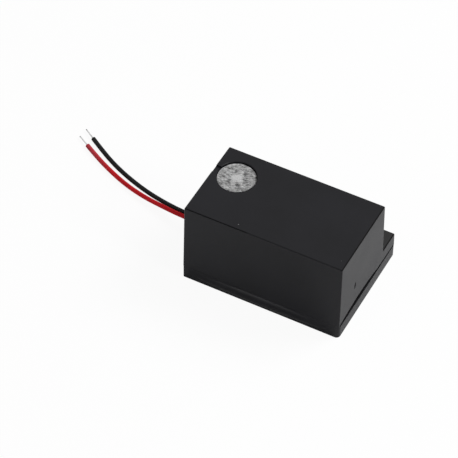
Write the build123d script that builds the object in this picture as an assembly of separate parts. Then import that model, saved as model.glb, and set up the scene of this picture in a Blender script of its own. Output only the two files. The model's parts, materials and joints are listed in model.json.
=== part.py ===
from build123d import *
import os
from math import atan2, cos, degrees, pi, radians, sin, tan

# Loudspeaker box of a desk telephone. A moulded housing with a low step along its back closes over
# a shallow moulded frame, and a small moving-coil driver inside fires down through the frame. A mesh
# disc covers the vent in the top, and two hook-up leads leave the seam at the left end.
#
# Millimetres and degrees. +Z is up, +X runs along the length, -Y is the front. The origin is at the
# middle of the footprint, on the surface that the box stands on.

# Box, outside
box_length = 40.0
box_depth = 29.2
box_height = 23.05
block_depth = 22.94
ledge_height = 7.45
draft_angle = 0.55
back_draft_angle = 2.0
edge_round = 0.3
end_round = 0.25
step_round = 0.3

# Walls of the housing and the frame
wall = 1.5
top_wall = 1.7
floor_thickness = 1.6
frame_corner = 0.35
frame_key_corner = 1.0
frame_round = 0.2
tongue_corner = 0.2

# Seam: the frame's lip stands outside the housing's tongue, which rests on a shoulder
seam_height = 3.85
seam_gap = 0.03
lip_width = 0.7
lip_height = 0.6
lip_clearance = 0.1

# Right end, where the housing's edge is warped and the seam stands open
seam_end_margin = 0.3
seam_end_drop = 0.32
seam_front_gap = 0.5
seam_peak_gap = 1.4
seam_knee_gap = 0.55
seam_back_gap = 0.2
seam_peak_share = 0.34
seam_knee_share = 0.38

# Bulge along the front of the frame
bulge_length = 34.0
bulge_height = 3.0
bulge_rise = 0.4
bulge_drop = 0.35

# Vent in the top
vent_margin = 1.49
mesh_diameter = 9.12
mesh_thickness = 0.3
mesh_recess = 0.45
pocket_clearance = 0.15
pocket_chamfer = 0.12
tape_thickness = 0.15
tape_width = 1.2
vent_hole_diameter = 1.5
vent_hole_circle = 4.4
vent_hole_count = 6
groove_width = 2.35
groove_depth = 0.45

# Gate mark on the right end
gate_y = -6.9
gate_z = 10.7
gate_height = 2.3
gate_width = 0.7
gate_tilt = 8.0

# Driver, which fills the depth of the box and stands near its right end
driver_side_gap = 0.7
driver_end_gap = 1.6
gasket_thickness = 0.5
gasket_width = 1.5
rim_width = 1.6
clamp_thickness = 0.5
film_thickness = 0.12
basket_rim_height = 1.5
basket_plate = 0.7
basket_chamfer = 0.4
basket_vent_share = 0.47
basket_vent_span = 36.0
basket_vent_pitch = 60.0
aperture_margin = 0.5
aperture_chamfer = 0.5
collar_clearance = 0.1
collar_width = 0.8
collar_height = 1.9

# Magnet system
yoke_share = 0.548
yoke_gap = 0.3
yoke_wall = 0.55
yoke_shoulder = 0.4
yoke_floor = 0.8
yoke_clearance = 0.05
yoke_chamfer = 0.3
yoke_rim_drop = 0.3
yoke_room = 0.5
yoke_headroom = 0.3
magnet_inset = 0.1
magnet_thickness = 1.8
pole_gap = 0.25
pole_thickness = 0.8
pole_setback = 0.1

# Moving parts
coil_winding = 0.3
coil_height = 2.1
coil_front_drop = 1.1
coil_bond_width = 0.55
dome_thickness = 0.14
dome_rise = 1.1
dome_rim = 0.4
roll_rise_share = 0.2125
roll_margin = 0.3

# Terminals, on a board between the basket's edge and the yoke
board_length = 8.0
board_thickness = 0.6
board_corner = 0.4
board_margin = 1.3
board_gap = 0.9
pad_length_share = 0.667
pad_width = 1.8
pad_thickness = 0.08
pad_pitch = 4.4
solder_radius = 0.8
solder_height = 1.0
cloth_thickness = 0.15
cloth_margin = 0.25

# Ribs in the housing that hold the driver down
rib_width = 1.0
rib_spread = 10.0
rib_reach = 3.6
rib_rise = 1.9
rib_top_reach = 1.4

# Leads
lead_diameter = 1.1
conductor_diameter = 0.38
bore_clearance = 0.04
lead_gap = 0.1
notch_clearance = 0.05
lead_rest_height = 0.58
lead_straight = 1.77
lead_overhang = 2.6
lead_bend_shares = [(0.28, 0.0, 0.0), (0.62, 0.54, 0.54)]
bend_share = 0.45
strip_length = 3.6
solder_strip_length = 1.6
seal_length = 1.5
seal_width = 3.8
seal_height = 2.9
seal_round = 0.7
seal_clearance = 0.03

# One overrun serves every cut
overrun = 1.0

# Heights and radii that follow from the sizes above
slant = tan(radians(draft_angle))
back_slant = tan(radians(back_draft_angle))
half_length = box_length / 2
half_depth = box_depth / 2
rebate_corner = tongue_corner + lip_clearance
lip_top = seam_height - seam_gap
shoulder_height = lip_top - lip_height
vent_x = -half_length + vent_margin + mesh_diameter / 2
driver_space = wall + collar_width + collar_clearance
driver_radius = half_depth - driver_space - driver_side_gap
driver_x = half_length - driver_space - driver_end_gap - driver_radius
rim_inner = driver_radius - rim_width
driver_front = floor_thickness + gasket_thickness
film_front = driver_front + clamp_thickness
basket_front = film_front + film_thickness
plate_front = basket_front + basket_rim_height
plate_rear = plate_front + basket_plate
yoke_body_radius = yoke_share * driver_radius
yoke_neck_radius = yoke_body_radius - yoke_shoulder
yoke_bore_radius = yoke_neck_radius - yoke_wall
coil_radius = yoke_bore_radius - yoke_gap
coil_bore_radius = coil_radius - coil_winding
yoke_rim = plate_front - yoke_rim_drop
pole_front = yoke_rim + pole_setback
magnet_front = pole_front + pole_thickness
magnet_rear = magnet_front + magnet_thickness
yoke_rear = magnet_rear + yoke_floor
pole_radius = coil_bore_radius - pole_gap
coil_front = plate_front - coil_front_drop
bond_front = coil_front - film_thickness
bond_inner = coil_bore_radius - coil_winding / 2
bond_outer = coil_radius + coil_bond_width
board_width = driver_radius - board_margin - board_gap - yoke_body_radius
board_top = plate_rear + board_thickness
pad_top = board_top + pad_thickness
board_x = driver_x - driver_radius + board_margin + board_width / 2
lead_terminal_height = pad_top + lead_diameter / 2 + notch_clearance
lead_exit_height = seam_height - notch_clearance - lead_diameter / 2
lead_pitch = lead_diameter + lead_gap
lead_start_x = board_x - solder_strip_length
lead_inlet_x = -half_length + wall + seal_clearance + seal_length + lead_straight


def skin(inset, roof, ledge, foot):
    """L-shaped block with drafted walls: the housing's outside, or its cavity when it is inset."""
    front = -half_depth + inset
    step = -half_depth + block_depth - inset
    back = half_depth - inset
    end = half_length - inset
    lean = slant * (roof - foot)
    front_top = (front + lean, roof)
    step_top = (step - back_slant * (roof - foot), roof)
    step_foot = (step - back_slant * (ledge - foot), ledge)
    ledge_edge = (back - back_slant * (ledge - foot), ledge)
    side = Polyline((front, foot), front_top, step_top, step_foot, ledge_edge, (back, foot), close=True)
    face = Polyline((-end, foot), (-end + lean, roof), (end - lean, roof), (end, foot), close=True)
    section = Sketch() + make_face(side)
    if not inset:
        rounds = {front_top: edge_round, step_top: edge_round, step_foot: step_round, ledge_edge: edge_round}
        for corner, radius in rounds.items():
            section = fillet(section.vertices().sort_by_distance(corner)[0], radius)
    across = extrude(Plane.YZ * section, amount=half_length, both=True)
    along = extrude(Plane.XZ * make_face(face), amount=box_depth, both=True)
    return across & along


def turned(*outline):
    """Solid of revolution about Z from an outline of (radius, height) points."""
    return revolve(Plane.XZ * make_face(Polyline(*outline, close=True)), Axis.Z)


def ring(outer, inner, bottom, top):
    """Flat ring about Z."""
    return turned((inner, bottom), (outer, bottom), (outer, top), (inner, top))


def film(points, crest, thickness):
    """Thin turned film: a flat flange, an arc over its crest, and an inner flange, or a pole."""
    edges = []
    for lift in (0, thickness):
        path = [(radius, height + lift) for radius, height in points]
        middle = (crest[0], crest[1] + lift)
        edges.append(Line(path[0], path[1]))
        edges.append(ThreePointArc(path[1], middle, path[2]))
        if len(path) > 3:
            edges.append(Line(path[2], path[3]))
    for radius, height in (points[0], points[-1]):
        edges.append(Line((radius, height), (radius, height + thickness)))
    return revolve(Plane.XZ * make_face(edges), Axis.Z)


def cap_middle(radius, rise):
    """Point halfway along a spherical cap's outline, from its rim at height 0 to its pole."""
    sphere = (radius**2 + rise**2) / (2 * rise)
    half_angle = atan2(radius, sphere - rise) / 2
    return sphere * sin(half_angle), rise - sphere + sphere * cos(half_angle)


def at_driver(piece):
    """Moves a piece turned about Z to the driver's axis."""
    return Pos(driver_x, 0, 0) * piece


def vent_pocket():
    """Cutter for the mesh's pocket, its chamfered rim, the vent holes and the groove to the left edge."""
    radius = mesh_diameter / 2 + pocket_clearance
    bottom = box_height - mesh_recess - mesh_thickness - tape_thickness
    rim = radius + pocket_chamfer
    pocket = turned(
        (0, bottom),
        (radius, bottom),
        (radius, box_height - pocket_chamfer),
        (rim, box_height),
        (rim, box_height + overrun),
        (0, box_height + overrun),
    )
    hole = Pos(vent_hole_circle / 2, 0, bottom) * Cylinder(vent_hole_diameter / 2, 2 * top_wall)
    holes = [Rot(0, 0, 360 * turn / vent_hole_count) * hole for turn in range(vent_hole_count)]
    groove_length = half_length + vent_x + overrun
    groove = Pos(-groove_length / 2, 0, box_height + overrun / 2 - groove_depth / 2) * Box(
        groove_length, groove_width, groove_depth + overrun
    )
    return Pos(vent_x, 0, 0) * (pocket + holes + groove)


def gate_mark():
    """Spindle-shaped cutter for the scar that the moulding gate leaves on the right end."""
    half = gate_height / 2
    outline = Line((0, -half), (0, half)) + ThreePointArc((0, half), (gate_width / 2, 0), (0, -half))
    spindle = revolve(Plane.XZ * make_face(outline), Axis.Z)
    face_x = half_length - slant * (gate_z - seam_height)
    return Pos(face_x, gate_y, gate_z) * Rot(-gate_tilt, 0, 0) * spindle


def seam_arch():
    """Cutter that warps the housing's lower edge at the right end, as deep as the frame's lip is wide."""
    reach = half_depth - seam_end_margin
    foot = seam_height - overrun
    front = (-reach, seam_height + seam_front_gap)
    peak = (-seam_peak_share * half_depth, seam_height + seam_peak_gap)
    knee = (seam_knee_share * half_depth, seam_height + seam_knee_gap)
    back = (reach, seam_height + seam_back_gap)
    outline = ThreePointArc(front, peak, knee) + Polyline(knee, back, (reach, foot), (-reach, foot), front)
    arch = extrude(Plane.YZ * make_face(outline), amount=lip_width + lip_clearance + overrun)
    return Pos(half_length - lip_width - lip_clearance, 0, 0) * arch


def hold_down_ribs():
    """Four gussets on the long walls that press on the basket's rim."""
    root = half_depth - wall / 2
    tip = half_depth - wall - rib_reach
    shape = Polyline(
        (root, plate_rear),
        (tip, plate_rear),
        (tip, plate_rear + rib_rise / 2),
        (half_depth - wall - rib_top_reach, plate_rear + rib_rise),
        (root, plate_rear + rib_rise),
        close=True,
    )
    rib = extrude(Plane.YZ * make_face(shape), amount=rib_width / 2, both=True)
    pair = [Pos(driver_x + side * rib_spread / 2, 0, 0) * rib for side in (-1, 1)]
    return pair + [mirror(rib, about=Plane.XZ) for rib in pair]


def make_rear_housing():
    """Moulded block with its step, hollow below, with a tongue round its open edge."""
    outside = skin(0, box_height, ledge_height, seam_height)
    end_edges = outside.edges().filter_by(
        lambda edge: abs(edge.center().X) > half_length - wall and edge.center().Z > seam_height + end_round
    )
    outside = fillet(end_edges, end_round)
    tongue_inset = 2 * (lip_width + lip_clearance)
    tongue_plan = RectangleRounded(box_length - tongue_inset, box_depth - tongue_inset, tongue_corner)
    tongue = extrude(Pos(0, 0, shoulder_height) * tongue_plan, amount=seam_height - shoulder_height + wall)
    cavity = skin(wall, box_height - top_wall, ledge_height - wall, shoulder_height)
    cavity += make_disc(yoke_body_radius + yoke_room, shoulder_height, yoke_rear + yoke_headroom)
    notch_width = 2 * lead_pitch
    notch = Pos(-half_length, 0, (seam_height + shoulder_height - overrun) / 2) * Box(
        2 * wall + overrun, notch_width, seam_height - shoulder_height + overrun
    )
    body = outside + tongue - cavity + hold_down_ribs()
    return body - vent_pocket() - gate_mark() - seam_arch() - notch


def lead_notch():
    """Cutter for the two leads' way through the frame's left wall, open at the top."""
    width = lead_pitch + lead_diameter + 2 * notch_clearance
    height = lead_diameter + 2 * notch_clearance
    tunnel = extrude(Plane.YZ * SlotOverall(width, height), amount=wall + overrun, both=True)
    mouth = Pos(0, 0, height / 2) * Box(2 * (wall + overrun), width, height)
    return Pos(-half_length, 0, lead_exit_height) * (tunnel + mouth)


def front_bulge():
    """Shallow lens-shaped bulge on the frame's front: an arc in section, turned about a far upright axis."""
    radius = ((bulge_length / 2) ** 2 + bulge_rise**2) / (2 * bulge_rise)
    chord = radius - bulge_rise
    root = chord - wall / 2
    top = lip_top - bulge_drop
    bottom = top - bulge_height
    section = Polyline((chord, bottom), (root, bottom), (root, top), (chord, top)) + ThreePointArc(
        (chord, top), (radius, (top + bottom) / 2), (chord, bottom)
    )
    span = degrees(box_length / radius)
    arch = revolve(Plane.XZ * make_face(section), Axis.Z, revolution_arc=span)
    bulge = Pos(0, chord - half_depth, 0) * Rot(0, 0, -90 - span / 2) * arch
    limits = Pos(0, -half_depth, lip_top / 2) * Box(box_length - 2 * frame_key_corner, 2 * wall, lip_top)
    return bulge & limits


def make_front_frame():
    """Moulded frame: a floor with the sound opening, a stepped rim, and a collar round the driver."""
    plan = Sketch() + Rectangle(box_length, box_depth)
    corners = plan.vertices().sort_by_distance((half_length, -half_depth))
    plan = fillet(corners[1:], frame_corner)
    plan = fillet(plan.vertices().sort_by_distance((half_length, -half_depth))[0], frame_key_corner)
    body = extrude(plan, amount=lip_top)
    body = fillet(body.edges().group_by(Axis.Z)[0], frame_round)
    body += front_bulge()
    well = RectangleRounded(box_length - 2 * wall, box_depth - 2 * wall, rebate_corner)
    body -= extrude(Pos(0, 0, floor_thickness) * well, amount=box_height)
    rebate = RectangleRounded(box_length - 2 * lip_width, box_depth - 2 * lip_width, rebate_corner)
    body -= extrude(Pos(0, 0, shoulder_height) * rebate, amount=box_height)
    collar_inner = driver_radius + collar_clearance
    body += at_driver(
        ring(collar_inner + collar_width, collar_inner, floor_thickness, floor_thickness + collar_height)
    )
    opening = driver_radius - gasket_width - aperture_margin
    flare = opening + aperture_chamfer
    body -= at_driver(
        turned(
            (0, -overrun),
            (flare, -overrun),
            (flare, 0),
            (opening, aperture_chamfer),
            (opening, floor_thickness + overrun),
            (0, floor_thickness + overrun),
        )
    )
    low_lip = Pos(half_length, 0, lip_top) * Box(2 * lip_width, box_depth - 2 * lip_width, 2 * seam_end_drop)
    return body - low_lip - lead_notch()


def make_basket():
    """Driver's frame: a deep rim, a rear plate with vents, and the hole that seats the yoke."""
    hole = yoke_neck_radius + yoke_clearance
    body = turned(
        (rim_inner, basket_front),
        (driver_radius, basket_front),
        (driver_radius, plate_rear - basket_chamfer),
        (driver_radius - basket_chamfer, plate_rear),
        (hole, plate_rear),
        (hole, plate_front),
        (rim_inner, plate_front),
    )
    middle = (rim_inner + yoke_body_radius) / 2
    vent_width = basket_vent_share * (rim_inner - yoke_body_radius)
    turns = int(360 / basket_vent_pitch)
    for turn in range(turns):
        bearing = turn * basket_vent_pitch
        if abs(bearing - 180) < basket_vent_pitch / 2:
            continue
        arc = CenterArc((0, 0), middle, bearing - basket_vent_span / 2, basket_vent_span)
        vent = Pos(0, 0, plate_front - overrun) * SlotArc(arc, vent_width)
        body -= extrude(vent, amount=basket_plate + 2 * overrun)
    return at_driver(body)


def make_damping_cloth():
    """Cloth ring over the basket's vents, cut away beside the terminal board."""
    cloth = ring(rim_inner, yoke_body_radius + cloth_margin, plate_rear, plate_rear + cloth_thickness)
    gap_width = board_length + 2 * cloth_margin
    gap = Pos(-driver_radius / 2, 0, plate_rear) * Box(driver_radius, gap_width, overrun)
    return at_driver(cloth - gap)


def make_yoke():
    """Steel pot: its neck drops into the basket, and its shoulder rests on the basket's rear face."""
    return at_driver(
        turned(
            (0, yoke_rear),
            (0, magnet_rear),
            (yoke_bore_radius, magnet_rear),
            (yoke_bore_radius, yoke_rim),
            (yoke_neck_radius, yoke_rim),
            (yoke_neck_radius, plate_rear),
            (yoke_body_radius, plate_rear),
            (yoke_body_radius, yoke_rear - yoke_chamfer),
            (yoke_body_radius - yoke_chamfer, yoke_rear),
        )
    )


def make_disc(radius, bottom, top):
    """Plain disc on the driver's axis."""
    return at_driver(turned((0, bottom), (radius, bottom), (radius, top), (0, top)))


def make_surround():
    """Flexible roll between the clamped edge of the diaphragm and the voice coil."""
    outer = rim_inner - roll_margin
    points = [
        (driver_radius, film_front),
        (outer, film_front),
        (bond_outer, bond_front),
        (bond_inner, bond_front),
    ]
    crest = ((outer + bond_outer) / 2, film_front - roll_rise_share * (outer - bond_outer))
    return at_driver(film(points, crest, film_thickness))


def make_dome():
    """Stiff cap bonded in front of the surround's inner flange."""
    rim_front = bond_front - dome_thickness
    skirt = bond_inner - dome_rim / 2
    middle_radius, middle_rise = cap_middle(skirt, dome_rise)
    points = [(bond_inner + dome_rim, rim_front), (skirt, rim_front), (0, rim_front - dome_rise)]
    return at_driver(film(points, (middle_radius, rim_front - middle_rise), dome_thickness))


def board_outline(length, width, corner, bottom, top):
    """Upright prism with rounded corners, centred on the terminal board."""
    return Pos(board_x, 0, bottom) * extrude(RectangleRounded(width, length, corner), amount=top - bottom)


def make_solder_pads():
    """Two copper pads on the board."""
    pad_length = pad_length_share * board_width
    pad_plan = RectangleRounded(pad_length, pad_width, min(pad_length, pad_width) / 4)
    pad = extrude(pad_plan, amount=pad_thickness)
    return [Pos(board_x, side * pad_pitch / 2, board_top) * pad for side in (-1, 1)]


def make_solder_joints():
    """Two domes of solder, each round the end of its conductor."""
    middle = cap_middle(solder_radius, solder_height)
    outline = Line((0, 0), (solder_radius, 0))
    outline += ThreePointArc((solder_radius, 0), middle, (0, solder_height))
    outline += Line((0, solder_height), (0, 0))
    dome = revolve(Plane.XZ * make_face(outline), Axis.Z)
    tunnel_radius = conductor_diameter / 2 + bore_clearance
    tunnel = Pos(0, 0, lead_terminal_height - pad_top) * Rot(0, 90, 0) * Cylinder(
        tunnel_radius, 2 * solder_radius + overrun
    )
    return [Pos(board_x, side * pad_pitch / 2, pad_top) * (dome - tunnel) for side in (-1, 1)]


def make_cable_seal():
    """Hot-melt bead on the inside of the left wall, moulded round the two leads."""
    middle_x = -half_length + wall + seal_clearance + seal_length / 2
    bead = Pos(middle_x, 0, floor_thickness + seal_height / 2) * Box(seal_length, seal_width, seal_height)
    foot = bead.edges().group_by(Axis.Z)[0]
    wall_side = bead.edges().group_by(Axis.X)[0]
    bead = fillet(bead.edges() - foot - wall_side, seal_round)
    bore = Pos(middle_x, 0, lead_exit_height) * Rot(0, 90, 0) * Cylinder(
        lead_diameter / 2 + bore_clearance, 2 * seal_length
    )
    return bead - [Pos(0, side * lead_pitch / 2, 0) * bore for side in (-1, 1)]


# Lie of each lead beyond the notch: points measured from the foot of the box's left end
red_lay = [
    (-8.4, -0.17, 2.72),
    (-14.2, 1.05, 1.8),
    (-20.0, 2.34, 1.02),
    (-25.8, 4.15, 0.6),
    (-31.2, 6.35, lead_rest_height),
    (-36.0, 8.7, lead_rest_height),
    (-40.05, 11.05, lead_rest_height),
]
black_lay = [
    (-8.4, 1.03, 2.72),
    (-14.2, 2.37, 1.8),
    (-20.0, 4.1, 1.02),
    (-25.8, 6.25, 0.6),
    (-31.0, 8.45, lead_rest_height),
    (-35.8, 11.1, lead_rest_height),
    (-39.95, 13.7, lead_rest_height),
]


def lead_route(side, lay):
    """Points of a lead: from its terminal down to the notch, straight through it, then along its lie."""
    terminal = Vector(lead_start_x, side * pad_pitch / 2, lead_terminal_height)
    inlet = Vector(lead_inlet_x, side * lead_pitch / 2, lead_exit_height)
    outlet = Vector(-half_length - lead_overhang, side * lead_pitch / 2, lead_exit_height)
    drop = inlet - terminal
    bends = [terminal + Vector(drop.X * x, drop.Y * y, drop.Z * z) for x, y, z in lead_bend_shares]
    return [terminal, *bends, inlet, outlet] + [Vector(-half_length, 0, 0) + Vector(*point) for point in lay]


def bend_radii(points):
    """Largest tangent arc at each corner of the route, from a share of its shorter run."""
    radii = []
    for before, corner, after in zip(points, points[1:], points[2:]):
        run_in = corner - before
        run_out = after - corner
        half_turn = radians(run_in.get_angle(run_out)) / 2
        radii.append(bend_share * min(run_in.length, run_out.length) / tan(half_turn))
    return radii


def tube(path, diameter):
    """Round bar along a path."""
    section = Plane(origin=path @ 0, z_dir=path % 0) * Circle(diameter / 2)
    return sweep(section, path=path)


def make_lead(name, points):
    """Insulation along the route, and the conductor in it, bare at both ends."""
    radii = bend_radii(points)
    cover_path = FilletPolyline(*points, radius=radii)
    first = (points[0] - points[1]).normalized()
    last = (points[-1] - points[-2]).normalized()
    core_start = points[0] + first * (solder_strip_length + solder_radius / 2)
    core_end = points[-1] + last * strip_length
    core_path = FilletPolyline(core_start, *points[1:-1], core_end, radius=radii)
    bore = conductor_diameter + 2 * bore_clearance
    cover = tube(cover_path, lead_diameter) - tube(cover_path, bore)
    core = tube(core_path, conductor_diameter)
    print(name, "length", round(cover_path.length, 2), "radii", [round(radius, 1) for radius in radii])
    expected = pi / 4 * (lead_diameter**2 - bore**2) * cover_path.length
    print(name, "cover volume", round(cover.volume, 3), "section times length", round(expected, 3))
    expected = pi / 4 * conductor_diameter**2 * core_path.length
    print(name, "core volume", round(core.volume, 3), "section times length", round(expected, 3))
    return cover, core


def make_pieces():
    """Every piece of the loudspeaker by name."""
    mesh_top = box_height - mesh_recess
    mesh_bottom = mesh_top - mesh_thickness
    mesh_radius = mesh_diameter / 2
    red_lead, red_conductor = make_lead("red", lead_route(-1, red_lay))
    black_lead, black_conductor = make_lead("black", lead_route(1, black_lay))
    return {
        "rear_housing": make_rear_housing(),
        "front_frame": make_front_frame(),
        "mesh_disc": Pos(vent_x, 0, mesh_bottom) * Cylinder(
            mesh_radius, mesh_thickness, align=(Align.CENTER, Align.CENTER, Align.MIN)
        ),
        "mesh_tape": Pos(vent_x, 0, 0) * ring(
            mesh_radius, mesh_radius - tape_width, mesh_bottom - tape_thickness, mesh_bottom
        ),
        "driver_gasket": at_driver(
            ring(driver_radius, driver_radius - gasket_width, floor_thickness, driver_front)
        ),
        "clamp_ring": at_driver(ring(driver_radius, rim_inner, driver_front, film_front)),
        "surround": make_surround(),
        "dome": make_dome(),
        "voice_coil": at_driver(
            ring(coil_radius, coil_bore_radius, coil_front, coil_front + coil_height)
        ),
        "basket": make_basket(),
        "yoke": make_yoke(),
        "magnet": make_disc(pole_radius - magnet_inset, magnet_front, magnet_rear),
        "pole_plate": make_disc(pole_radius, pole_front, magnet_front),
        "damping_cloth": make_damping_cloth(),
        "terminal_board": board_outline(board_length, board_width, board_corner, plate_rear, board_top),
        "solder_pads": Compound(make_solder_pads()),
        "solder_joints": Compound(make_solder_joints()),
        "cable_seal": make_cable_seal(),
        "red_lead": red_lead,
        "black_lead": black_lead,
        "red_conductor": red_conductor,
        "black_conductor": black_conductor,
    }


os.makedirs("parts", exist_ok=True)
for name, piece in make_pieces().items():
    export_step(piece, f"parts/{name}.step")
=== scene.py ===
import json
from math import ceil, cos, pi, radians, sin, sqrt
from random import Random

import bpy
from mathutils import Matrix, Vector


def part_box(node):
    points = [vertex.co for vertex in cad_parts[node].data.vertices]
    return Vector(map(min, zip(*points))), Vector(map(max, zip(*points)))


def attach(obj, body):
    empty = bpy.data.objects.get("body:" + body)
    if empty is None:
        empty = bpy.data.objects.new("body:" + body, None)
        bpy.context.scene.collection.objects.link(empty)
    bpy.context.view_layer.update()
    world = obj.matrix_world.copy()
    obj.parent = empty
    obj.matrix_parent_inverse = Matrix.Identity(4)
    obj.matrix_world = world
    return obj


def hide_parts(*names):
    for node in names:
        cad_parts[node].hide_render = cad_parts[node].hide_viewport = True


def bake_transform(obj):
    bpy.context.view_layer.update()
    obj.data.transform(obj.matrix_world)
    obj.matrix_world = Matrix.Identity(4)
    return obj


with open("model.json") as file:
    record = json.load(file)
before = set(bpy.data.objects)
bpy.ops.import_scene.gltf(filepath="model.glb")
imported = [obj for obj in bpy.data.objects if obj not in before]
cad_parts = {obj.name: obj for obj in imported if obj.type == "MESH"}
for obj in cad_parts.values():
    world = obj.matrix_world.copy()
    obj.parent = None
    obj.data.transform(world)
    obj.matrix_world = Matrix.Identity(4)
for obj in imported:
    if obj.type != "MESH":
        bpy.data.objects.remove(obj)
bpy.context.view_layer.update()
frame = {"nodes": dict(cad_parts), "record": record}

nodes = frame["nodes"]
scene = bpy.context.scene
mm = 0.001

# Camera, at the photograph's viewing angle
view_azimuth = radians(26.947)
view_elevation = radians(47.72)
view_roll = radians(0.989)
view_distance = 600 * mm
view_aim = Vector((-12.992, -5.334, 10.968)) * mm
view_lens = 205.48
clip_near_share = 0.1
clip_far_share = 20

# Lamps: place and width in metres, and power in watts
lamps = {
    "key": ((0.5, 0.45, 0.75), 0.5, 7.6),
    "low_front": ((-0.32, -0.95, 0.14), 0.3, 1.7),
    "fill": ((0.8, -0.12, 0.58), 0.2, 2.8),
}

# World: its strength as a soft light, and where it is seen, mirrored or below the floor
world_soft = 0.24
world_full = 1.0

# White floor, with a hole under the box
floor_reach = 3000 * mm
floor_drop = 0.05 * mm
floor_lap = 0.2 * mm
floor_cloud = 40 * mm
floor_deep = 0.9
floor_bright = 0.94
floor_roughness = 0.9

# Share of the floor's white that is its own light: to the camera, and in mirrors away from a darker patch
floor_seen_share = 0.93
floor_mirrored_share = 0.6
floor_patch_place = (20 * mm, -36 * mm, 0)
floor_patch_inner = 20 * mm
floor_patch_outer = 58 * mm

# Box round the floor that touches the object, which gives no light of its own in mirrors
contact_reach = 3 * mm
contact_height = 1 * mm
contact_blend = 0.5 * mm

# Leads
lead_diameter = 1.1 * mm
conductor_diameter = 0.38 * mm
strip_length = 3.6 * mm
core_start_x = -3.8 * mm
strands_across = 3
strands_round = 6
strand_lay = 5.0 * mm
tip_shift_start_x = -50 * mm
tip_shift_end_x = -59.5 * mm
route_resolution = 24
cover_resolution = 5

# Routes of the leads in millimetres, from the terminals to the stripped ends
lead_side = 0.6
lead_rest_height = 0.58
red_route = [
    (-5.8, -2.2, 6.2),
    (-8.43, -2.2, 6.2),
    (-11.63, -1.34, 4.61),
    (-15.2, -lead_side, 3.25),
    (-22.6, -lead_side, 3.25),
    (-28.4, -0.17, 2.72),
    (-34.2, 1.05, 1.8),
    (-40.0, 2.34, 1.02),
    (-45.8, 4.15, 0.6),
    (-51.2, 6.35, lead_rest_height),
    (-56.0, 8.7, lead_rest_height),
    (-60.05, 11.05, lead_rest_height),
]
black_route = [
    (-5.8, 2.2, 6.2),
    (-8.43, 2.2, 6.2),
    (-11.63, 1.34, 4.61),
    (-15.2, lead_side, 3.25),
    (-22.6, lead_side, 3.25),
    (-28.4, 1.03, 2.72),
    (-34.2, 2.37, 1.8),
    (-40.0, 4.1, 1.02),
    (-45.8, 6.25, 0.6),
    (-51.0, 8.45, lead_rest_height),
    (-55.8, 11.1, lead_rest_height),
    (-59.95, 13.7, lead_rest_height),
]

# Woven disc over the vent
thread_turn = radians(19)
thread_pitch = 0.28 * mm
weft_width = 0.25 * mm
warp_width = 0.2 * mm
thread_height = 0.12 * mm
thread_shift_share = 0.06
thread_steps = 4
weave_seed = 7
rim_thread = 0.14 * mm
rim_height = 0.196 * mm
rim_steps = 120

# Sides of the tubes that threads and strands are
tube_sides = 6

# Soil on the woven disc: streaks and blotches, a clean middle and a dark spot over each vent hole
streak_length = 0.75 * mm
streak_width = 0.2 * mm
streak_share = 0.7
blotch_size = 1.4 * mm
blotch_share = 0.3
clean_inner = 0.9 * mm
clean_outer = 1.7 * mm
clean_gain = 0.16
vent_hole_count = 6
vent_hole_reach = 2.2 * mm
spot_inner = 0.1 * mm
spot_outer = 0.6 * mm
spot_loss = 0.12
soil_low = 0.385
soil_high = 0.59

# Surround of the diaphragm
film_thickness = 0.12 * mm
roll_outer = 9.6 * mm
roll_inner = 5.6 * mm
bond_inner = 4.6 * mm
roll_lowest_share = 0.55
clamped_share = 0.25
rolled_share = 0.75
roll_ridges = 36
roll_ridge_height = 0.06 * mm
roll_twist = 0.35
roll_segments = 288
roll_steps = 14

# Dust: a film on the step, and specks on the top with their places in millimetres and how light they are
dust_level = 0.021
dust_margin = 1 * mm
dust_start = 0.1 * mm
dust_full = 0.9 * mm
dust_least = 0.2
dust_specks = [(-6.8, -12.9, 0.35), (18.3, -11.8, 0.1)]
dust_radius = 0.11 * mm
dust_core_share = 0.5

# Seam between the housing and the frame: dull, with painted shade that makes it near black
seam_low = 1.0 * mm
seam_high = 5.6 * mm
seam_corner = 1.1 * mm
seam_start = 0.1 * mm
seam_full = 0.25 * mm
seam_roughness = 1.0
shadow_level = 0.001

# Rounded edges, with painted shade that makes their colour and reflections darker than the faces beside them
edge_reach = 0.45 * mm
edge_inset = 0.06 * mm
edge_drop = 0.2 * mm
edge_blend = 0.1 * mm
edge_tint = 0.1
flat_tolerance = 0.001 * mm
front_edge_length = 16.0 * mm
foot_edge_height = 0.4 * mm
frame_key_corner = 1.0 * mm

# How dark the painted shade makes each of those edges, from 0 to 1
top_right_dark = 1.0
top_back_dark = 0.6
top_left_dark = 0.6
top_front_dark = 0.35
top_front_left_dark = 0.75
ledge_right_dark = 1.0
ledge_back_dark = 0.8
foot_dark = 1.0

# Noise: its octaves when fine and when slow, how rough it is, and the range that it mostly keeps to
fine_detail = 2.0
slow_detail = 3.0
even_roughness = 0.5
rich_roughness = 0.6
noise_low = 0.3
noise_high = 0.7
cell_high = 0.8

# Grain of each finish
housing_grain = 0.16 * mm
frame_grain = 0.18 * mm
driver_grain = 0.2 * mm
tape_grain = 0.3 * mm
gasket_grain = 0.15 * mm
cloth_grain = 0.12 * mm
thread_grain = 0.05 * mm
insulation_grain = 0.25 * mm
film_grain = 0.12 * mm
strand_grain = 0.1 * mm
plating_grain = 0.08 * mm
magnet_grain = 0.06 * mm
solder_grain = 0.15 * mm
coil_wire_pitch = 0.09 * mm
laminate_pitch = 0.5 * mm
laminate_wander = 0.4

# Depth of the grain, or its share of the grain's size
moulded_depth = 0.002 * mm
thread_depth = 0.004 * mm
insulation_depth = 0.004 * mm
film_depth = 0.004 * mm
metal_depth = 0.002 * mm
coil_wire_depth = 0.03 * mm
laminate_depth = 0.01 * mm
sheet_depth_share = 0.15

# Size of the slow clouds of colour, or how many grains wide they are
plastic_cloud = 9 * mm
insulation_cloud = 6 * mm
film_cloud = 2 * mm
metal_cloud_grains = 12
sheet_cloud_grains = 8

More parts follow.
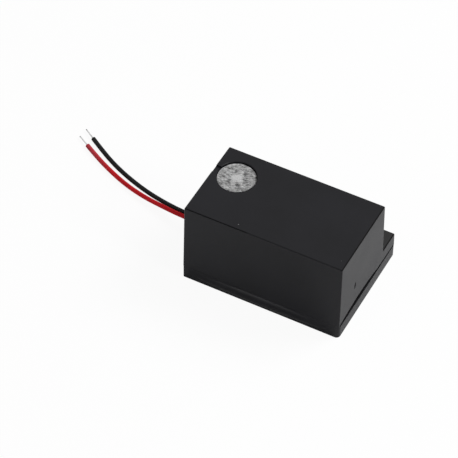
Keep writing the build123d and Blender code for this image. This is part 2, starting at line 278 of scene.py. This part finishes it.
# How far the roughness strays below and above its middle value
plastic_stray = (-0.03, 0.04)
metal_stray = (-0.06, 0.08)
sheet_stray = (-0.1, 0.1)
film_stray = (-0.05, 0.08)

# Roughness of the other finishes, at the two ends of their pattern
thread_roughness = (0.5, 0.62)
insulation_roughness = (0.36, 0.48)
coil_roughness = (0.45, 0.28)
laminate_roughness = (0.32, 0.42)

# Other looks of the finishes
cool_share = 1.3
plastic_deep_share = 0.82
plastic_bright_share = 1.2
plastic_specular = 0.17
insulation_specular = 0.08
film_glow_share = 0.3
film_glow_reach = 0.5 * mm

# Radians that Blender's wave texture turns through in one unit of its scale
wave_rate = 20

# Places of the colour sockets on Blender's mix node, after those for numbers and vectors
mix_first = 6
mix_second = 7
mix_result = 2


class Graph:
    """A node tree. Each call adds a node and gives the socket that the next call takes."""

    def __init__(self, tree):
        self.tree = tree

    def add(self, kind, **settings):
        """New node of that kind, with its settings."""
        node = self.tree.nodes.new("ShaderNode" + kind)
        for key, value in settings.items():
            setattr(node, key, value)
        return node

    def put(self, socket, value):
        """Gives a socket a constant, or links another node's output to it."""
        if isinstance(value, bpy.types.NodeSocket):
            self.tree.links.new(value, socket)
        else:
            socket.default_value = value

    def math(self, operation, first, second):
        """Result of one operation on two numbers."""
        node = self.add("Math", operation=operation)
        self.put(node.inputs[0], first)
        self.put(node.inputs[1], second)
        return node.outputs["Value"]

    def span(self, value, low, high, start=0.0, end=1.0):
        """Maps low to high onto start to end, clamped."""
        node = self.add("MapRange")
        settings = {"Value": value, "From Min": low, "From Max": high, "To Min": start, "To Max": end}
        for key, setting in settings.items():
            self.put(node.inputs[key], setting)
        return node.outputs["Result"]

    def axes(self, vector):
        """A vector's three coordinates."""
        node = self.add("SeparateXYZ")
        self.put(node.inputs[0], vector)
        return node.outputs


class Look(Graph):
    """One material's node tree."""

    def __init__(self, name):
        self.material = bpy.data.materials.new(name)
        self.material.use_nodes = True
        super().__init__(self.material.node_tree)
        self.shader = self.tree.nodes["Principled BSDF"]
        self.place = self.add("TexCoord").outputs["Object"]

    def surface(self, **values):
        """Sets the shader's sockets by their names, with _ for a space."""
        for key, value in values.items():
            self.put(self.shader.inputs[key.replace("_", " ")], value)
        return self.material

    def noise(self, size, detail=fine_detail, roughness=even_roughness, place=None):
        """Noise with features of about that size, in metres."""
        node = self.add("TexNoise")
        self.put(node.inputs["Vector"], place or self.place)
        self.put(node.inputs["Scale"], 1 / size)
        self.put(node.inputs["Detail"], detail)
        self.put(node.inputs["Roughness"], roughness)
        return node.outputs["Fac"]

    def spread(self, noise, start=0.0, end=1.0):
        """Maps the range that a noise mostly keeps to onto start to end."""
        return self.span(noise, noise_low, noise_high, start, end)

    def cells(self, size):
        """Smooth Voronoi cells of about that size, in metres."""
        node = self.add("TexVoronoi", feature="SMOOTH_F1")
        self.put(node.inputs["Vector"], self.place)
        self.put(node.inputs["Scale"], 1 / size)
        return node.outputs["Distance"]

    def bands(self, pitch, direction, distortion=0.0):
        """Bands across one axis, a pitch apart."""
        node = self.add("TexWave", bands_direction=direction)
        self.put(node.inputs["Vector"], self.place)
        self.put(node.inputs["Scale"], 2 * pi / (wave_rate * pitch))
        self.put(node.inputs["Distortion"], distortion)
        return node.outputs["Fac"]

    def turned(self, angle, along, across):
        """Place turned about Z and measured in one size along that direction and another across it."""
        node = self.add("Mapping", vector_type="TEXTURE")
        self.put(node.inputs["Vector"], self.place)
        self.put(node.inputs["Rotation"], (0, 0, angle))
        self.put(node.inputs["Scale"], (along, across, across))
        return node.outputs["Vector"]

    def distance(self, point):
        """Distance from one point, in metres."""
        node = self.add("VectorMath", operation="DISTANCE")
        self.put(node.inputs[0], self.place)
        self.put(node.inputs[1], point)
        return node.outputs["Value"]

    def depth(self, low, high):
        """How deep inside a box the place is, in metres, and below zero outside it."""
        gaps = []
        for value, least, most in zip(self.axes(self.place), low, high):
            gaps.append(self.math("SUBTRACT", value, least))
            gaps.append(self.math("SUBTRACT", most, value))
        depth = gaps[0]
        for gap in gaps[1:]:
            depth = self.math("MINIMUM", depth, gap)
        return depth

    def upward(self):
        """How far the surface faces up, from -1 to 1."""
        return self.axes(self.add("NewGeometry").outputs["Normal"])["Z"]

    def mix(self, factor, first, second):
        """Colour between two colours."""
        node = self.add("Mix", data_type="RGBA")
        self.put(node.inputs["Factor"], factor)
        self.put(node.inputs[mix_first], first)
        self.put(node.inputs[mix_second], second)
        return node.outputs[mix_result]

    def join(self, factor, first, second):
        """Shader between two shaders."""
        node = self.add("MixShader")
        for socket, value in zip(node.inputs, (factor, first, second)):
            self.put(socket, value)
        return node.outputs[0]

    def bump(self, height, depth):
        """Normal for a height from 0 to 1 over that depth, in metres."""
        node = self.add("Bump")
        self.put(node.inputs["Height"], height)
        self.put(node.inputs["Distance"], depth)
        return node.outputs["Normal"]


def rgb(red, green, blue):
    """Opaque colour."""
    return (red, green, blue, 1.0)


def grey(level):
    """Neutral colour of one level."""
    return rgb(level, level, level)


def cool_grey(level):
    """Grey with a little blue in it."""
    return rgb(level, level, cool_share * level)


def around(middle, stray):
    """Lowest and highest of a range about a middle value."""
    return middle + stray[0], middle + stray[1]


# Places on the housing and the frame
def ledge_place():
    """Middle of the step's flat face, from the record's mounts."""
    return next(mount["pos_m"] for mount in frame["record"]["mounts"] if mount["name"] == "ledge_face")


def flat_corners(node, height):
    """Lowest and highest corners of a node's flat face at a height."""
    vertices = nodes[node].data.vertices
    places = [vertex.co for vertex in vertices if abs(vertex.co.z - height) < flat_tolerance]
    xs = [place.x for place in places]
    ys = [place.y for place in places]
    return Vector((min(xs), min(ys), height)), Vector((max(xs), max(ys), height))


def face_edges(node, height):
    """Boxes round the right, back, left and front edges of a flat face."""
    low, high = flat_corners(node, height)
    near = low - Vector((edge_reach, edge_reach, edge_drop))
    far = high + Vector((edge_reach, edge_reach, edge_reach))
    right = Vector((high.x - edge_inset, near.y, near.z)), far
    back = Vector((near.x, high.y - edge_inset, near.z)), far
    left = near, Vector((low.x + edge_inset, far.y, far.z))
    front = near, Vector((far.x, low.y + edge_inset, far.z))
    return right, back, left, front


def housing_painted_edges():
    """Edges of the housing's top and step that get painted shade, each a box and how dark it is."""
    low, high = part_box("rear_housing")
    right, back, left, front = face_edges("rear_housing", high.z)
    front_left = front[0], Vector((low.x + front_edge_length, front[1].y, front[1].z))
    ledge_right, ledge_back = face_edges("rear_housing", ledge_place()[2])[:2]
    return [
        (right, top_right_dark),
        (back, top_back_dark),
        (left, top_left_dark),
        (front, top_front_dark),
        (front_left, top_front_left_dark),
        (ledge_right, ledge_right_dark),
        (ledge_back, ledge_back_dark),
    ]


def frame_painted_foot():
    """Foot of the frame along its front, which gets painted shade."""
    low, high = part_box("front_frame")
    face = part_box("rear_housing")[0].y
    foot = low - Vector((0, edge_reach, edge_reach))
    return [((foot, Vector((high.x - frame_key_corner, face + edge_reach, foot_edge_height))), foot_dark)]


# Materials
def add_dust(look, colour):
    """Colour with a film of dust on the step and specks on the top."""
    low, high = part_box("rear_housing")
    middle_y, height = ledge_place()[1:]
    step_low = (low.x - dust_margin, 2 * middle_y - high.y, height - dust_margin)
    step_high = (high.x + dust_margin, high.y + dust_margin, height + dust_margin)
    settled = look.span(look.depth(step_low, step_high), dust_start, dust_full)
    lying = look.math("MULTIPLY", settled, look.upward())
    colour = look.mix(look.span(lying, dust_least, 1.0), colour, grey(dust_level))
    for x, y, light in dust_specks:
        reach = look.distance((x * mm, y * mm, high.z))
        speck = look.span(reach, dust_core_share * dust_radius, dust_radius, 1.0, 0.0)
        colour = look.mix(speck, colour, grey(light))
    return colour


def painted_seam_shade(look):
    """How far the place is inside the seam, from 0 to 1, which sets its dullness and its painted shade."""
    low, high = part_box("rear_housing")
    depth = look.depth((low.x, low.y + seam_corner, seam_low), (high.x, high.y, seam_high))
    return look.span(depth, seam_start, seam_full)


def painted_edge_shade(look, edges):
    """How dark the painted shade of the edges makes the place, from 0 to 1."""
    shade = 0.0
    for box, dark in edges:
        shade = look.math("MAXIMUM", shade, look.span(look.depth(*box), 0.0, edge_blend, 0.0, dark))
    return shade


def moulded_plastic(name, level, roughness, grain, dusty=False, edges=()):
    """Near-black moulded plastic: a fine eroded grain, slow cloudiness, a dull seam with painted shade, and
    any edges with painted shade.
    """
    look = Look(name)
    cloud = look.noise(plastic_cloud, slow_detail)
    fine = look.noise(grain, roughness=rich_roughness)
    deep = cool_grey(plastic_deep_share * level)
    bright = cool_grey(plastic_bright_share * level)
    colour = look.mix(look.spread(cloud), deep, bright)
    if dusty:
        colour = add_dust(look, colour)
    seam = painted_seam_shade(look)
    both = look.math("ADD", cloud, fine)
    gloss = look.span(both, 2 * noise_low, 2 * noise_high, *around(roughness, plastic_stray))
    gloss = look.span(seam, 0.0, 1.0, gloss, seam_roughness)
    # Painted shade: the seam's colour is darkened to near black.
    colour = look.mix(seam, colour, grey(shadow_level))
    if edges:
        # Painted shade and painted dark reflection: the edges' colour and specular tint are darkened.
        shade = painted_edge_shade(look, edges)
        colour = look.mix(shade, colour, grey(shadow_level))
        look.surface(Specular_Tint=look.mix(shade, grey(1.0), grey(edge_tint)))
    return look.surface(
        Base_Color=colour,
        Roughness=gloss,
        Specular_IOR_Level=plastic_specular,
        Normal=look.bump(fine, moulded_depth),
    )


def woven_thread(name, deep, bright):
    """Pale grey thread, soiled in streaks along the weft and over the vent holes, clean in the middle."""
    look = Look(name)
    low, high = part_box("mesh_disc")
    centre = (low + high) / 2
    along_weft = look.turned(thread_turn, streak_length, streak_width)
    streak = look.noise(1, roughness=rich_roughness, place=along_weft)
    blotch = look.noise(blotch_size)
    soil = look.math(
        "ADD", look.math("MULTIPLY", streak, streak_share), look.math("MULTIPLY", blotch, blotch_share)
    )
    clean = look.span(look.distance(centre), clean_inner, clean_outer, clean_gain, 0.0)
    shade = look.math("ADD", soil, clean)
    for hole in range(vent_hole_count):
        turn = 2 * pi * hole / vent_hole_count
        place = centre + vent_hole_reach * Vector((cos(turn), sin(turn), 0))
        spot = look.span(look.distance(place), spot_inner, spot_outer, spot_loss, 0.0)
        shade = look.math("SUBTRACT", shade, spot)
    return look.surface(
        Base_Color=look.mix(look.span(shade, soil_low, soil_high), deep, bright),
        Roughness=look.spread(soil, *thread_roughness),
        Normal=look.bump(look.noise(thread_grain), thread_depth),
    )


def insulation(name, deep, bright, tip):
    """Extruded soft insulation, a little uneven in colour and gloss, and turning to a tip colour towards its
    stripped end.
    """
    look = Look(name)
    cloud = look.noise(insulation_cloud, slow_detail)
    fine = look.noise(insulation_grain)
    towards_tip = look.span(look.axes(look.place)["X"], tip_shift_end_x, tip_shift_start_x, 1.0, 0.0)
    return look.surface(
        Base_Color=look.mix(towards_tip, look.mix(look.spread(cloud), deep, bright), tip),
        Roughness=look.spread(fine, *insulation_roughness),
        Specular_IOR_Level=insulation_specular,
        Normal=look.bump(fine, insulation_depth),
    )


def metal(name, deep, bright, roughness, grain):
    """Plated or tinned metal with a fine grain."""
    look = Look(name)
    cloud = look.noise(metal_cloud_grains * grain, slow_detail)
    fine = look.noise(grain)
    return look.surface(
        Base_Color=look.mix(look.spread(cloud), deep, bright),
        Metallic=1.0,
        Roughness=look.spread(fine, *around(roughness, metal_stray)),
        Normal=look.bump(fine, metal_depth),
    )


def soft_sheet(name, deep, bright, roughness, grain):
    """Foam, felt or tape: a mottled colour over an uneven grain."""
    look = Look(name)
    fine = look.cells(grain)
    cloud = look.noise(sheet_cloud_grains * grain, slow_detail)
    return look.surface(
        Base_Color=look.mix(look.spread(cloud), deep, bright),
        Roughness=look.span(fine, 0.0, cell_high, *around(roughness, sheet_stray)),
        Normal=look.bump(fine, sheet_depth_share * grain),
    )


def wound_copper(name, deep, bright):
    """Enamelled wire in close turns."""
    look = Look(name)
    turns = look.bands(coil_wire_pitch, "Z")
    return look.surface(
        Base_Color=look.mix(turns, deep, bright),
        Metallic=1.0,
        Roughness=look.span(turns, 0.0, 1.0, *coil_roughness),
        Normal=look.bump(turns, coil_wire_depth),
    )


def laminate(name, deep, bright):
    """Brown phenolic laminate with a faint weave."""
    look = Look(name)
    bands = [look.bands(laminate_pitch, axis, laminate_wander) for axis in "XY"]
    weave = look.math("MULTIPLY", *bands)
    return look.surface(
        Base_Color=look.mix(weave, deep, bright),
        Roughness=look.span(weave, 0.0, 1.0, *laminate_roughness),
        Normal=look.bump(weave, laminate_depth),
    )


def milky_film(name, deep, bright, roughness):
    """Thin pressed film or set hot-melt: pale, with some light passing into it."""
    look = Look(name)
    cloud = look.noise(film_cloud, slow_detail)
    fine = look.noise(film_grain)
    return look.surface(
        Base_Color=look.mix(look.spread(cloud), deep, bright),
        Roughness=look.spread(fine, *around(roughness, film_stray)),
        Subsurface_Weight=film_glow_share,
        Subsurface_Scale=film_glow_reach,
        Normal=look.bump(fine, film_depth),
    )


# Meshes
def dress(piece, material):
    """Gives a piece one material in place of any other."""
    piece.data.materials.clear()
    piece.data.materials.append(material)
    return piece


def add_mesh(name, points, faces, material):
    """New smooth mesh object from points and faces."""
    mesh = bpy.data.meshes.new(name)
    mesh.from_pydata(points, [], faces)
    mesh.validate()
    mesh.polygons.foreach_set("use_smooth", [True] * len(mesh.polygons))
    piece = bpy.data.objects.new(name, mesh)
    scene.collection.objects.link(piece)
    return dress(piece, material)


def directions(path):
    """Direction of travel at each point of a path."""
    before = [path[0], *path[:-1]]
    after = [*path[1:], path[-1]]
    return [(end - start).normalized() for start, end in zip(before, after)]


def level_side(along):
    """Direction square to a path and to Z."""
    return along.cross(Vector((0, 0, 1))).normalized()


def add_tube(points, faces, path, width, height):
    """Adds a capped oval tube along a path, that wide across and that high."""
    first = len(points)
    angles = [2 * pi * side / tube_sides for side in range(tube_sides)]
    for place, along in zip(path, directions(path)):
        across = level_side(along)
        up = across.cross(along)
        for angle in angles:
            points.append(place + across * (width / 2 * cos(angle)) + up * (height / 2 * sin(angle)))
    for ring in range(len(path) - 1):
        low = first + ring * tube_sides
        high = low + tube_sides
        for side in range(tube_sides):
            turn = (side + 1) % tube_sides
            faces.append((low + side, low + turn, high + turn, high + side))
    last = first + (len(path) - 1) * tube_sides
    faces.append(tuple(range(first + tube_sides - 1, first - 1, -1)))
    faces.append(tuple(range(last, last + tube_sides)))


# Camera
def add_camera():
    """Camera at the photograph's angle: a turn about Z, a tilt, and a small roll about its own axis."""
    data = bpy.data.cameras.new("camera")
    data.lens = view_lens
    data.clip_start = clip_near_share * view_distance
    data.clip_end = clip_far_share * view_distance
    camera = bpy.data.objects.new("camera", data)
    turn = Matrix.Rotation(view_azimuth, 4, "Z")
    tilt = Matrix.Rotation(pi / 2 - view_elevation, 4, "X")
    roll = Matrix.Rotation(view_roll, 4, "Z")
    back = turn @ tilt @ Vector((0, 0, view_distance))
    camera.matrix_world = Matrix.Translation(view_aim + back) @ turn @ tilt @ roll
    scene.collection.objects.link(camera)
    scene.camera = camera


# Leads
def add_route(name, points):
    """Smooth curve with the route's points as its control points."""
    data = bpy.data.curves.new(name, "CURVE")
    data.dimensions = "3D"
    data.resolution_u = route_resolution
    spline = data.splines.new("NURBS")
    spline.points.add(len(points) - 1)
    for point, place in zip(spline.points, points):
        point.co = (*place, 1.0)
    spline.order_u = 3
    spline.use_endpoint_u = True
    curve = bpy.data.objects.new(name, data)
    scene.collection.objects.link(curve)
    return curve


def line_of(points):
    """Places along the smooth curve of a route."""
    curve = add_route("line", points)
    bpy.context.view_layer.update()
    mesh = bpy.data.meshes.new_from_object(curve)
    places = [vertex.co.copy() for vertex in mesh.vertices]
    data = curve.data
    bpy.data.objects.remove(curve)
    bpy.data.curves.remove(data)
    bpy.data.meshes.remove(mesh)
    return places


def add_strands(name, route, material):
    """Conductor of one straight strand and others laid round it, bare at both ends of the lead."""
    points, faces = [], []
    strand = conductor_diameter / strands_across
    last = (route[-1] - route[-2]).normalized()
    core = [Vector((core_start_x, route[0].y, route[0].z)), *route[1:-1], route[-1] + last * strip_length]
    line = line_of(core)
    travel = [0.0]
    for before, after in zip(line, line[1:]):
        travel.append(travel[-1] + (after - before).length)
    add_tube(points, faces, line, strand, strand)
    for number in range(strands_round):
        path = []
        for place, along, gone in zip(line, directions(line), travel):
            across = level_side(along)
            turn = 2 * pi * (number / strands_round + gone / strand_lay)
            path.append(place + strand * (across * cos(turn) + across.cross(along) * sin(turn)))
        add_tube(points, faces, path, strand, strand)
    return add_mesh(name, points, faces, material)


def add_lead(colour, route_mm, cover_material, core_material):
    """One lead: its insulation as a smooth tube on the route, and its stranded conductor."""
    route = [Vector(point) * mm for point in route_mm]
    cover = add_route(colour + "_insulation", route)
    cover.data.bevel_depth = lead_diameter / 2
    cover.data.bevel_resolution = cover_resolution
    cover.data.use_fill_caps = True
    dress(cover, cover_material)
    core = add_strands(colour + "_strands", route, core_material)
    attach(cover, "enclosure")
    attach(core, "enclosure")
    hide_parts(colour + "_lead")
    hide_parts(colour + "_conductor")


# Vent disc
def add_weave(material):
    """Plain weave of flat threads, cut to a disc, with a fused rim."""
    low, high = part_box("mesh_disc")
    centre = (low + high) / 2
    radius = (high.x - low.x) / 2 - rim_thread / 2
    swing = (high.z - low.z - thread_height) / 2
    draws = Random(weave_seed)
    points, faces = [], []
    turn = Matrix.Rotation(thread_turn, 3, "Z")
    count = int(radius / thread_pitch)
    for axis, width in enumerate((weft_width, warp_width)):
        for index in range(-count, count + 1):
            shift = draws.uniform(-thread_shift_share, thread_shift_share)
            offset = index * thread_pitch + shift * thread_pitch
            reach = sqrt(max(radius**2 - offset**2, 0))
            steps = max(2, ceil(2 * reach / thread_pitch * thread_steps))
            path = []
            for step in range(steps + 1):
                along = reach * (2 * step / steps - 1)
                lift = swing * cos(pi * (along / thread_pitch + index)) * (1 if axis else -1)
                plan = (offset, along, lift) if axis else (along, offset, lift)
                path.append(centre + turn @ Vector(plan))
            add_tube(points, faces, path, width, thread_height)
    angles = [2 * pi * step / rim_steps for step in range(rim_steps + 1)]
    rim = [centre + radius * Vector((cos(angle), sin(angle), 0)) for angle in angles]
    add_tube(points, faces, rim, rim_thread, rim_height)
    weave = add_mesh("vent_weave", points, faces, material)
    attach(weave, "enclosure")
    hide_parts("mesh_disc")


# Surround
def film_ring(name, profile, centre, material):
    """Closed ring of film on an upright axis. profile(share, turn) gives its radius and front height."""
    points, faces = [], []
    turns = [2 * pi * turn / roll_segments for turn in range(roll_segments)]
    shares = [step / roll_steps for step in range(roll_steps + 1)]
    for lift, order in ((0, shares), (film_thickness, reversed(shares))):
        for share in order:
            for turn in turns:
                radius, height = profile(share, turn)
                points.append((centre.x + radius * cos(turn), centre.y + radius * sin(turn), height + lift))
    loops = len(points) // roll_segments
    for loop in range(loops):
        low = loop * roll_segments
        high = (loop + 1) % loops * roll_segments
        for side in range(roll_segments):
            turn = (side + 1) % roll_segments
            faces.append((low + side, high + side, high + turn, low + turn))
    return add_mesh(name, points, faces, material)


def add_surround(material):
    """Pressed film in two rings that meet at the roll's crest: one clamped, one that bends to the coil."""
    low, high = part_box("surround")
    centre = (low + high) / 2
    edge = (high.x - low.x) / 2
    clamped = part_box("clamp_ring")[1].z
    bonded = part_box("voice_coil")[0].z - film_thickness
    sag = (clamped + bonded) / 2 - low.z

    def roll(share, turn):
        """Place on the sagging roll, from 0 at the coil to 1 at the clamped edge, with slanting ridges."""
        radius = roll_inner + share * (roll_outer - roll_inner)
        ridge = roll_ridge_height * sin(pi * share) ** 2 * sin(roll_ridges * (turn + roll_twist * share))
        height = bonded + share * (clamped - bonded) - 4 * share * (1 - share) * sag
        return radius, height + ridge / 2

    def fixed(share, turn):
        """Outline from the clamped edge in to the roll's crest."""
        if share < clamped_share:
            return edge + share / clamped_share * (roll_outer - edge), clamped
        part = (share - clamped_share) / (1 - clamped_share)
        return roll(1 - part * (1 - roll_lowest_share), turn)

    def moving(share, turn):
        """Outline from the roll's crest in to the edge that is bonded to the coil."""
        if share > rolled_share:
            part = (share - rolled_share) / (1 - rolled_share)
            return roll_inner + part * (bond_inner - roll_inner), bonded
        return roll(roll_lowest_share * (1 - share / rolled_share), turn)

    outer = film_ring("surround_edge", fixed, centre, material)
    inner = film_ring("surround_roll", moving, centre, material)
    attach(outer, "enclosure")
    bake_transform(inner)
    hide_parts("surround")


# Stage
def floor_finish():
    """White, partly its own light so that its shadow is faint, darker in mirrors close to the box."""
    look = Look("floor_white")
    white = look.mix(look.noise(floor_cloud), grey(floor_deep), grey(floor_bright))
    look.surface(Base_Color=white, Roughness=floor_roughness, Specular_IOR_Level=0.0)
    low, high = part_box("front_frame")
    contact_low = (low.x, low.y - contact_reach, -contact_height)
    contact_high = (high.x, high.y, contact_height)
    clear = look.span(look.depth(contact_low, contact_high), -contact_blend, contact_blend, 1.0, 0.0)
    reach = look.distance(floor_patch_place)
    away = look.span(reach, floor_patch_inner, floor_patch_outer, 0.0, floor_mirrored_share)
    rays = look.add("LightPath").outputs
    mirrored = look.math("MAXIMUM", rays["Is Glossy Ray"], rays["Is Transmission Ray"])
    mirrored = look.math("MULTIPLY", mirrored, look.math("MULTIPLY", away, clear))
    seen = look.math("MULTIPLY", rays["Is Camera Ray"], floor_seen_share)
    own_light = look.add("Emission").outputs[0]
    lit = look.join(look.math("MAXIMUM", seen, mirrored), look.shader.outputs[0], own_light)
    from_below = look.add("NewGeometry").outputs["Backfacing"]
    one_sided = look.join(from_below, lit, look.add("BsdfTransparent").outputs[0])
    look.put(look.tree.nodes["Material Output"].inputs["Surface"], one_sided)
    return look.material


def add_floor():
    """Floor that can be seen through from below, and is open under the box."""
    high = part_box("front_frame")[1]
    corners = ((-1, -1), (1, -1), (1, 1), (-1, 1))
    count = len(corners)
    hole_x = high.x - floor_lap
    hole_y = high.y - floor_lap
    outer = [(x * floor_reach, y * floor_reach, -floor_drop) for x, y in corners]
    inner = [(x * hole_x, y * hole_y, -floor_drop) for x, y in corners]
    faces = []
    for side in range(count):
        turn = (side + 1) % count
        faces.append((side, turn, turn + count, side + count))
    add_mesh("floor", outer + inner, faces, floor_finish())


def add_lamp(name, place, size, power):
    """Square soft box that faces the object."""
    data = bpy.data.lights.new(name, "AREA")
    data.shape = "SQUARE"
    data.size = size
    data.energy = power
    lamp = bpy.data.objects.new(name, data)
    lamp.location = place
    lamp.rotation_euler = (view_aim - Vector(place)).to_track_quat("-Z", "Y").to_euler()
    scene.collection.objects.link(lamp)


def add_world():
    """Even white surroundings: full below the floor and where they are seen or mirrored, else softer."""
    world = bpy.data.worlds.new("studio")
    scene.world = world
    world.use_nodes = True
    graph = Graph(world.node_tree)
    background = graph.tree.nodes["Background"]
    rays = graph.add("LightPath").outputs
    direction = graph.axes(graph.add("TexCoord").outputs["Generated"])
    full = graph.math("LESS_THAN", direction["Z"], 0.0)
    for kind in ("Is Camera Ray", "Is Glossy Ray", "Is Transmission Ray"):
        full = graph.math("MAXIMUM", full, rays[kind])
    graph.put(background.inputs["Color"], grey(1.0))
    graph.put(background.inputs["Strength"], graph.span(full, 0.0, 1.0, world_soft, world_full))


add_camera()
tin = metal("tinned_strand", grey(0.5), grey(0.75), roughness=0.3, grain=strand_grain)
red = insulation(
    "red_insulation", deep=rgb(0.46, 0.01, 0.014), bright=rgb(0.62, 0.015, 0.022), tip=rgb(0.44, 0.045, 0.06)
)
black = insulation("black_insulation", deep=grey(0.009), bright=grey(0.014), tip=grey(0.012))
add_lead("red", red_route, red, tin)
add_lead("black", black_route, black, tin)
add_weave(woven_thread("woven_thread", grey(0.045), grey(0.68)))
add_surround(milky_film("surround_film", rgb(0.5, 0.48, 0.43), rgb(0.62, 0.6, 0.55), roughness=0.3))

finishes = {
    "rear_housing": moulded_plastic(
        "housing_plastic", level=0.006, roughness=0.39, grain=housing_grain, dusty=True, edges=housing_painted_edges()
    ),
    "front_frame": moulded_plastic(
        "frame_plastic", level=0.006, roughness=0.4, grain=frame_grain, edges=frame_painted_foot()
    ),
    "basket": moulded_plastic("driver_plastic", level=0.012, roughness=0.4, grain=driver_grain),
    "mesh_tape": soft_sheet(
        "adhesive_tape", rgb(0.3, 0.25, 0.16), rgb(0.42, 0.36, 0.24), roughness=0.5, grain=tape_grain
    ),
    "driver_gasket": soft_sheet("gasket_foam", grey(0.02), grey(0.045), roughness=0.85, grain=gasket_grain),
    "damping_cloth": soft_sheet("damping_fabric", grey(0.015), grey(0.04), roughness=0.85, grain=cloth_grain),
    "dome": milky_film("dome_film", rgb(0.52, 0.5, 0.45), rgb(0.66, 0.64, 0.58), roughness=0.28),
    "cable_seal": milky_film("hot_melt", rgb(0.6, 0.55, 0.42), rgb(0.75, 0.7, 0.58), roughness=0.35),
    "voice_coil": wound_copper("wound_copper", rgb(0.16, 0.045, 0.015), rgb(0.62, 0.24, 0.09)),
    "yoke": metal("yoke_plating", grey(0.45), grey(0.6), roughness=0.3, grain=plating_grain),
    "pole_plate": metal("pole_plating", grey(0.48), grey(0.62), roughness=0.26, grain=plating_grain),
    "magnet": metal("magnet_plating", grey(0.5), grey(0.68), roughness=0.2, grain=magnet_grain),
    "terminal_board": laminate("board_laminate", rgb(0.2, 0.1, 0.035), rgb(0.3, 0.17, 0.07)),
    "solder_pads": metal(
        "pad_copper", rgb(0.55, 0.24, 0.12), rgb(0.72, 0.36, 0.2), roughness=0.35, grain=plating_grain
    ),
    "solder_joints": metal("solder", grey(0.5), grey(0.7), roughness=0.24, grain=solder_grain),
}
finishes["clamp_ring"] = finishes["basket"]
for node, finish in finishes.items():
    dress(nodes[node], finish)

add_floor()
add_world()
for lamp_name, (lamp_place, lamp_size, lamp_power) in lamps.items():
    add_lamp(lamp_name, lamp_place, lamp_size, lamp_power)

scene.view_settings.view_transform = "Standard"
